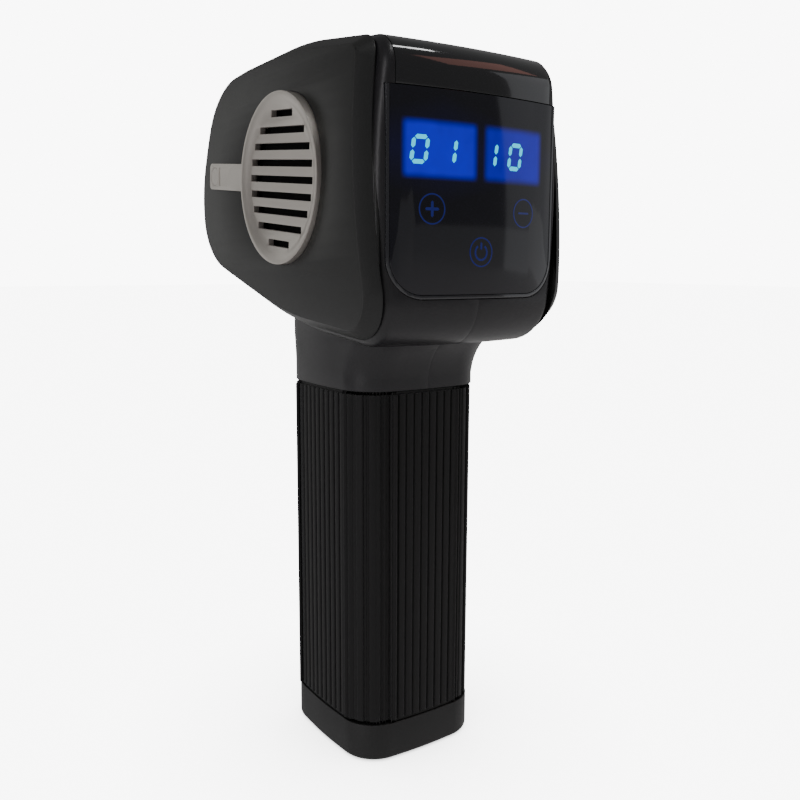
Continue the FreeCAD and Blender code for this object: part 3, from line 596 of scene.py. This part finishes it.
symbolSpec = {"ring": 4.1 * mm, "line": 0.42 * mm, "arm": 2.3 * mm, "ringSteps": 48,
              "plus": (-16.6 * mm, 178.7 * mm), "minus": (17.3 * mm, 178.6 * mm),
              "power": (0.6 * mm, 167.0 * mm),
              "plusLine": 0.85 * mm, "minusLine": 0.55 * mm, "crossLift": 0.01 * mm,
              "powerRing": 2.15 * mm, "powerDrop": 0.1 * mm, "powerFrom": 125, "powerTo": 415,
              "powerSteps": 30,
              "powerLine": 1.5, "stemFrom": 0.6 * mm, "stemTo": 2.9 * mm, "stemLine": 1.7}


def arcBand(work, centre, radius, line, start, stop, steps):
    cx, cz = centre
    inner, outer = radius - line / 2, radius + line / 2
    for i in range(steps):
        quad = []
        for k, r in ((i, inner), (i, outer), (i + 1, outer), (i + 1, inner)):
            angle = start + (stop - start) * k / steps
            quad.append((cx + r * math.cos(angle), cz + r * math.sin(angle)))
        flatShape(work, quad)


def makeSymbols():
    spec = symbolSpec
    work = bmesh.new()
    line = spec["line"]
    for key in ("plus", "minus", "power"):
        arcBand(work, spec[key], spec["ring"], line, 0.0, math.tau, spec["ringSteps"])
    arm = spec["arm"]
    across, upright = (1, 0), (0, 1)
    for key, ways in (("plus", (across, upright)), ("minus", (across,))):
        cx, cz = spec[key]
        for dx, dz in ways:
            outline = barOutline(cx - dx * arm, cz - dz * arm, cx + dx * arm, cz + dz * arm,
                                 spec[key + "Line"])
            flatShape(work, [(p.x, p.y) for p in outline], spec["crossLift"] * dx)
    cx, cz = spec["power"]
    arcBand(work, (cx, cz - spec["powerDrop"]), spec["powerRing"], line * spec["powerLine"],
            math.radians(spec["powerFrom"]), math.radians(spec["powerTo"]), spec["powerSteps"])
    outline = barOutline(cx, cz + spec["stemFrom"], cx, cz + spec["stemTo"], line * spec["stemLine"])
    flatShape(work, [(p.x, p.y) for p in outline])
    addPiece("touchSymbols", closedMesh(work, "symbols"), "symbols", "body", "led_blue")


# ---- stage: camera, floor and light --------------------------------

# angles are in degrees, the lens and the sensor in mm
cameraSpec = {"place": (-0.16502, -0.25181, 0.1638), "heading": 34.4, "down": 8.85, "roll": 0.25,
              "lens": 39.6, "sensor": 36.0, "nearest": 0.01}


def makeCamera():
    data = bpy.data.cameras.new("viewCamera")
    data.lens = cameraSpec["lens"]
    data.sensor_width = cameraSpec["sensor"]
    data.clip_start = cameraSpec["nearest"]
    camera = bpy.data.objects.new("viewCamera", data)
    bpy.context.scene.collection.objects.link(camera)
    turn = (Matrix.Rotation(math.radians(-cameraSpec["heading"]), 4, "Z")
            @ Matrix.Rotation(math.radians(90 - cameraSpec["down"]), 4, "X")
            @ Matrix.Rotation(math.radians(cameraSpec["roll"]), 4, "Z"))
    camera.matrix_world = Matrix.Translation(cameraSpec["place"]) @ turn
    bpy.context.scene.camera = camera


# the last three entries set the painted contact shadow on the floor: how far it reaches, how dark it gets and
# how finely it is sampled
stageSpec = {"backdrop": 9.0, "fill": 0.20, "floorShare": 0.9, "bounce": 0.28, "reach": 6.0, "drop": 0.0004,
             "paintedShadowReach": 0.07, "paintedShadowLevel": 0.8, "paintedShadowSamples": 8}
# each light: where it stands, what it faces, its width and height, its power and its colour
studioLights = {
    "frontPanel": ((-0.42, 1.15, 0.40), (0, 0, 0.18), (0.35, 0.7), 0.75, (1.0, 1.0, 0.97)),
    "bevelStrip": ((-0.95, -0.27, 0.28), (0, 0, 0.18), (0.26, 0.9), 3.4, (1.0, 0.97, 1.0)),
    "topStrip": ((0.10, -0.34, 1.05), (0, 0, 0.2), (0.75, 0.07), 2.6, (1.0, 1.0, 1.0)),
    "sidePanel": ((0.93, -0.53, 0.30), (0, -0.05, 0.18), (0.56, 0.9), 0.85, (0.93, 0.95, 1.0)),
    "warmPanel": ((0.70, -0.60, 0.95), (0, -0.05, 0.2), (0.6, 0.3), 0.5, (1.0, 0.42, 0.34)),
}


def addLight(name, place, target, size, power, colour):
    data = bpy.data.lights.new(name, "AREA")
    data.shape = "RECTANGLE"
    data.size, data.size_y = size
    data.energy = power
    data.color = colour
    light = bpy.data.objects.new(name, data)
    bpy.context.scene.collection.objects.link(light)
    light.visible_camera = False
    light.location = place
    light.rotation_euler = (Vector(target) - Vector(place)).to_track_quat("-Z", "Y").to_euler()


# a pale sheet that shows white to the camera, with a painted contact shadow that darkens it a little where
# the object touches it, and otherwise throws back only a weak light
def makeFloor():
    floor = bpy.data.meshes.new("studioFloor")
    reach = stageSpec["reach"]
    floor.from_pydata([(-reach, -reach, 0), (reach, -reach, 0), (reach, reach, 0), (-reach, reach, 0)], [],
                      [(0, 1, 2, 3)])
    paper = Finish("palePaper", {"Base Color": grey(0.9), "Roughness": 0.8, "Emission Color": grey(1.0),
                                  "Emission Strength": stageSpec["bounce"]})
    # painted shadow: ambient occlusion dims the white that the camera sees near the object
    paintedShadow = paper.node("ShaderNodeAmbientOcclusion", {"samples": stageSpec["paintedShadowSamples"]},
                      {"Distance": stageSpec["paintedShadowReach"]}, 1)
    level = paper.between(paintedShadow, stageSpec["paintedShadowLevel"], stageSpec["backdrop"])
    bright = paper.node("ShaderNodeEmission", None, {"Strength": level})
    seen = paper.node("ShaderNodeLightPath") * stageSpec["floorShare"]
    dull = Wire(paper, paper.shader.outputs[0])
    mix = paper.node("ShaderNodeMixShader", None, [seen, dull, bright])
    paper.put(paper.tree.nodes["Material Output"].inputs["Surface"], mix)
    floor.materials.append(paper.material)
    ground = bpy.data.objects.new("studioFloor", floor)
    bpy.context.scene.collection.objects.link(ground)
    ground.location.z = -stageSpec["drop"]


# a bright backdrop to the camera, and only a weak fill to everything else
def makeWorld():
    world = bpy.data.worlds.new("studio")
    bpy.context.scene.world = world
    world.use_nodes = True
    links = world.node_tree.links.new
    sky = world.node_tree.nodes["Background"]
    path = world.node_tree.nodes.new("ShaderNodeLightPath")
    level = world.node_tree.nodes.new("ShaderNodeMapRange")
    level.inputs["To Min"].default_value = stageSpec["fill"]
    level.inputs["To Max"].default_value = stageSpec["backdrop"]
    links(path.outputs["Is Camera Ray"], level.inputs["Value"])
    links(level.outputs[0], sky.inputs["Strength"])
    sky.inputs["Color"].default_value = (1.0, 1.0, 1.0, 1)


def makeLights():
    for name, (place, target, size, power, colour) in studioLights.items():
        addLight(name, place, target, size, power, colour)
    print("lights:", len(studioLights))


makeCamera()
makeFloor()
makeWorld()
makeLights()
finishKept()
makeEased()
makeGrip()
makeDigits()
makeSymbols()

import json
